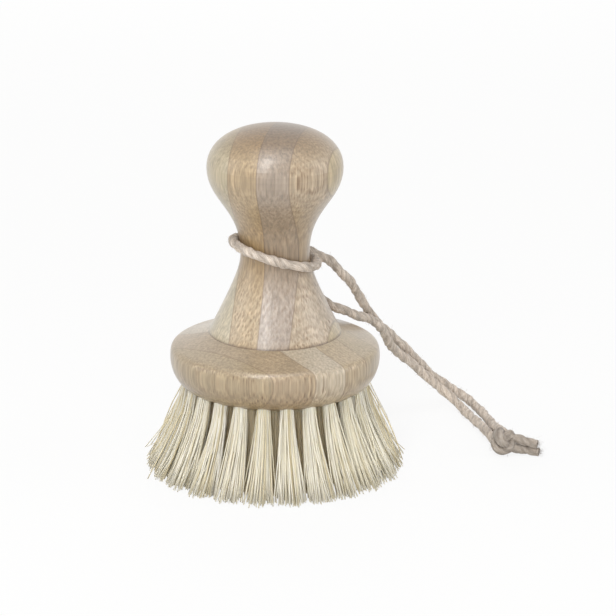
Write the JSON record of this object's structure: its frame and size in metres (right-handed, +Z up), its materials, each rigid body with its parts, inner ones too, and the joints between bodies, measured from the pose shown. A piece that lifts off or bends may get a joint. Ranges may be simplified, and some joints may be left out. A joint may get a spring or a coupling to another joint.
{
  "type": "vegetable brush",
  "caption": "Round hand brush with a turned knob handle, a disc head of glued strips, splayed plant fibre tufts and a twine hanging loop tied round the neck.",
  "frame": {"origin": "middle of the flat plane in which the bristle tips are trimmed, on the brush's turned axis", "axes": "+Z up along the turned axis from the bristle tips to the knob; -Y towards the viewer of the picture, so +X is to its right and the hanging loop lies on the +X side"},
  "size_m": [0.1053, 0.082, 0.0919],
  "materials": {
    "handle": "satin",
    "head": "satin",
    "dowel": "matte",
    "fibre": "matte",
    "wire": "satin",
    "twine": "matte"
  },
  "bodies": {
    "brush": {"handle_strip_1": "handle", "handle_strip_2": "handle", "handle_strip_3": "handle", "handle_strip_4": "handle", "handle_strip_5": "handle", "head_strip_1": "head", "head_strip_2": "head", "head_strip_3": "head", "head_strip_4": "head", "head_strip_5": "head", "head_strip_6": "head", "head_strip_7": "head", "joint_dowel": "dowel", "bristles_outer_ring": "fibre", "bristles_second_ring": "fibre", "bristles_third_ring": "fibre", "bristles_inner_ring": "fibre", "bristles_middle_tuft": "fibre", "tuft_anchors": "wire"},
    "hanging_loop": {"neck_loop": "twine", "loop_strand_upper": "twine", "loop_strand_lower": "twine", "end_knot": "twine", "tail_upper": "twine", "tail_lower": "twine"}
  },
  "joints": [
    {"name": "cord_swivel", "type": "hinge", "parent": "brush", "child": "hanging_loop", "pos_m": [0, 0, 0.0581], "axis": [0, 0, 1], "continuous": true}
  ]
}
